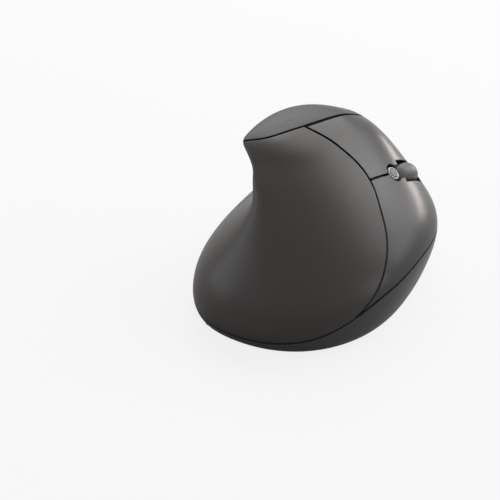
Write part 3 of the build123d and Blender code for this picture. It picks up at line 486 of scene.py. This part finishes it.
# Resolution key: a small round cap of darkly plated plastic, pressed into a bright ring that is notched all
# round for the finger tip. The ring is turned from brass bar, plated, and snapped over the cap.
along_keys = Vector((0.196, 0.926, -0.322)).normalized()
outward = Vector((0.608, 0.143, 0.781)).normalized()
start_of_keys = (0.0144, 0.008, 0.0407)
key_slope = Matrix((along_keys, outward.cross(along_keys), outward)).transposed().to_4x4()
key_slope.translation = start_of_keys
ring_centre = 0.0129
ring_outer = 0.0025
ring_inner = 0.0019
ring_low = 0.0003
ring_high = 0.0014
ring_steps = 240
notches = 16
notch_depth = 0.0004
notch_roundness = 0.5
shoulder_drop = 0.0003
shoulder_sink = 0.5
rim_slope = 0.00018
rim_sink = 0.3
inner_edge = 0.0001
turned = bmesh.new()
hoops = []
for step in range(ring_steps):
    turn = 2.0 * pi * step / ring_steps
    notch = notch_depth * max(cos(notches * turn), 0.0) ** notch_roundness
    profile = (
        (ring_inner, ring_low),
        (ring_outer, ring_low),
        (ring_outer - notch, ring_high - shoulder_drop - notch * shoulder_sink),
        (ring_outer - rim_slope - notch, ring_high - notch * rim_sink),
        (ring_inner + inner_edge, ring_high),
        (ring_inner, ring_high - inner_edge),
    )
    hoops.append([turned.verts.new((ring_centre + reach * cos(turn), reach * sin(turn), height))
                  for reach, height in profile])


def skin(shape, here, following):
    """Closes the strip between two loops of corners with faces."""
    for corner in range(len(here)):
        beyond = (corner + 1) % len(here)
        shape.faces.new((here[corner], here[beyond], following[beyond], following[corner]))


for hoop, following in zip(hoops, hoops[1:] + hoops[:1]):
    skin(turned, hoop, following)
bmesh.ops.recalc_face_normals(turned, faces=turned.faces)
turned.transform(key_slope)
plating_dull = (0.36, 0.36, 0.36, 1.0)
plating_bright = (0.44, 0.44, 0.43, 1.0)
bright = Finish("bright_plating")
breath = bright.grain(size=0.0006)
bright_plating = bright.mottled(breath, plating_dull, plating_bright, matt=0.24, spread=0.1, depth=0.00001,
                                strength=0.3, rounding=0.00008, fixed={"Metallic": 1.0})
notched_ring = form("notched_ring", turned, bright_plating)
notched_ring.data.shade_smooth()
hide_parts("dpi_ring")
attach(notched_ring, "dpi_key")
dress(bright_plating, "dpi_ring")
smoke_dark = (0.09, 0.09, 0.09, 1.0)
smoke_light = (0.13, 0.13, 0.13, 1.0)
smoked = Finish("smoked_plating")
haze = smoked.grain(size=0.0008)
dress(smoked.mottled(haze, smoke_dark, smoke_light, matt=0.22, spread=0.1, depth=0.00001, strength=0.3,
                     rounding=0.00015, fixed={"Metallic": 1.0}), "dpi_key")

# Finger keys, palm shell and thumb panel: one charcoal plastic, sprayed with a soft-touch lacquer that is
# matt and faintly grained. Screws hold the shell and the panel on the base, and the keys tilt on their pin.
lacquer_seam = 0.0016
spray_waves = 0.0006
tone_drift = 0.03
spray_grain = 0.00012
waves_in_gloss = 0.04
grain_in_gloss = 0.03
palm_dark = (0.043, 0.0388, 0.0365, 1.0)
palm_light = (0.050, 0.0458, 0.0435, 1.0)
keys_dark = (0.034, 0.033, 0.033, 1.0)
keys_light = (0.039, 0.037, 0.037, 1.0)
panel_dark = (0.040, 0.038, 0.038, 1.0)
panel_light = (0.046, 0.044, 0.044, 1.0)


def soft_lacquer(name, dark, light, matt, shine):
    """One batch of the lacquer, with painted shade, black, down in its seams."""
    coat = Finish(name)
    grained = coat.grain(spray_grain)
    toned = coat.blend(coat.grain(tone_drift), dark, light)
    return coat.surface({
        # Painted shade: the colour falls to black down in the seams.
        "Base Color": coat.blend(coat.seam_shade_mask(lacquer_seam), painted_seam_shade, toned),
        "Roughness": matt + coat.grain(spray_waves) * waves_in_gloss + grained * grain_in_gloss,
        "Specular IOR Level": shine,
        "Normal": coat.relief(grained, depth=0.00001, strength=0.25, rounding=0.0003),
    })


dress(soft_lacquer("palm_lacquer", palm_dark, palm_light, matt=0.33, shine=0.33), "palm_shell")
dress(soft_lacquer("key_lacquer", keys_dark, keys_light, matt=0.25, shine=0.36), "index_key", "middle_key")
dress(soft_lacquer("panel_lacquer", panel_dark, panel_light, matt=0.36, shine=0.28), "thumb_panel")

# Tongue of the palm shell: a rib of the same plastic, moulded along its upper edge. It reaches under the
# rim of the thumb panel and closes the seam between the two, so that no light falls through it.
crest_line = (
    (-0.038, -0.0090), (-0.026, -0.0054), (-0.0206, -0.0029), (-0.0165, 0.0021), (-0.0123, 0.0096),
    (-0.0089, 0.0175), (-0.0053, 0.0281), (-0.0024, 0.0400),
)
steps_per_run = 10
half_tongue = 0.0010
tongue_top = 0.0009
tongue_bottom = 0.0017
above_mouse = 0.08
lowest_tongue = 0.0508
down = Vector((0.0, 0.0, -1.0))
palm_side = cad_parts["palm_shell"]
thumb_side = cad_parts["thumb_panel"]


def crest_curve(before, start, end, after, share):
    """Place and course on the smooth curve through four points, at a share of its middle run."""
    bend = 2 * before - 5 * start + 4 * end - after
    twist = 3 * start - before - 3 * end + after
    place = start + (end - before) * (share / 2) + bend * (share * share / 2) + twist * (share ** 3 / 2)
    course = (end - before) / 2 + bend * share + twist * (1.5 * share * share)
    return place, course


tongue = bmesh.new()
sections = []
for corners in zip(crest_line, crest_line[1:], crest_line[2:], crest_line[3:]):
    run = [Vector((*corner, above_mouse)) for corner in corners]
    for step in range(steps_per_run):
        middle, course = crest_curve(*run, step / steps_per_run)
        across = Vector((course.y, -course.x, 0.0)).normalized() * half_tongue
        met_palm, on_palm = palm_side.ray_cast(middle + across, down)[:2]
        met_thumb, on_thumb = thumb_side.ray_cast(middle - across, down)[:2]
        if met_palm and met_thumb and min(on_palm.z, on_thumb.z) > lowest_tongue:
            sections.append([tongue.verts.new(place + down * sink) for place, sink in (
                (on_palm, tongue_top), (on_thumb, tongue_top),
                (on_thumb, tongue_bottom), (on_palm, tongue_bottom))])
for section, following in zip(sections, sections[1:]):
    skin(tongue, section, following)
tongue.faces.new(sections[0])
tongue.faces.new(reversed(sections[-1]))
bmesh.ops.recalc_face_normals(tongue, faces=tongue.faces)
crest_tongue = form("crest_tongue", tongue, palm_side.data.materials[0])
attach(crest_tongue, "base")
